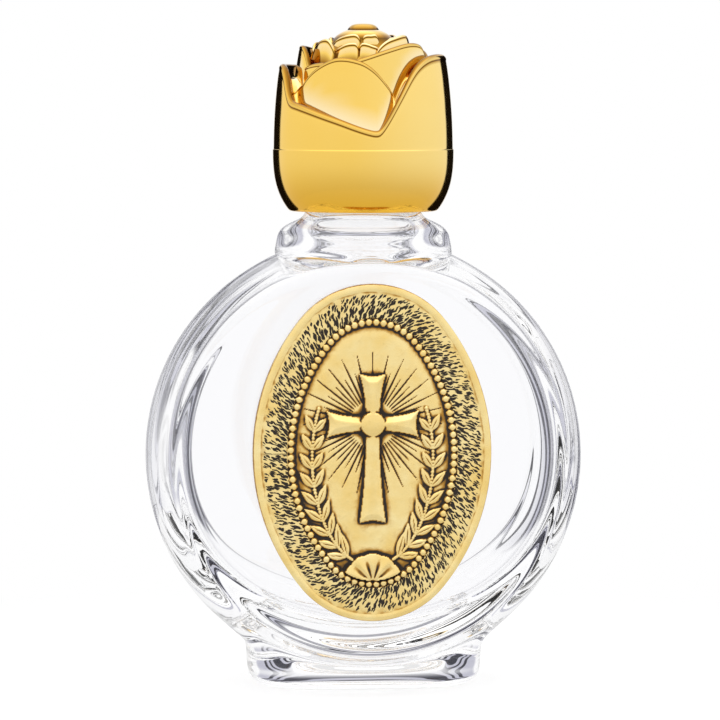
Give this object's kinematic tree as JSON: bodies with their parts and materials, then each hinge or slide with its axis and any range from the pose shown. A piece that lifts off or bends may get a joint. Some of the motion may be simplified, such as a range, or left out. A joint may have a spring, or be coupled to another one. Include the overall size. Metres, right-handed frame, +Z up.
{
  "type": "holy water bottle",
  "caption": "Round flat clear glass bottle on a foot, with an oval relief medallion glued to its front and a gold rosebud cap that unscrews and lifts off.",
  "frame": {"origin": "centre of the foot's underside, on the axis of the neck and cap", "axes": "+Z up along the neck, -Y out of the front panel that carries the medallion, +X to the right seen from the front"},
  "size_m": [0.0546, 0.0264, 0.0826],
  "materials": {
    "clear_glass": "fire polished",
    "antique_gold": "antiqued, dark in the recesses",
    "adhesive_pad": "satin",
    "gold_metallised_plastic": "mirror gold",
    "white_plastic": "satin",
    "liner_foam": "matte"
  },
  "bodies": {
    "bottle": {"glass_bottle": "clear_glass", "medallion": "antique_gold", "medallion_adhesive": "adhesive_pad"},
    "seal": {"cap_liner": "liner_foam"},
    "cap": {"rose_cap": "gold_metallised_plastic", "cap_insert": "white_plastic"}
  },
  "joints": [
    {"name": "cap_lift", "type": "slide", "parent": "bottle", "child": "seal", "axis": [0, 0, 1], "range_m": [0, 0.0107]},
    {"name": "cap_turn", "type": "hinge", "parent": "seal", "child": "cap", "pos_m": [0, 0, 0.067], "axis": [0, 0, 1], "range_deg": [0, 1800]}
  ],
  "couplings": [
    {"joint": "cap_lift", "follows": "cap_turn", "m_per_rad": 0.00033693}
  ]
}
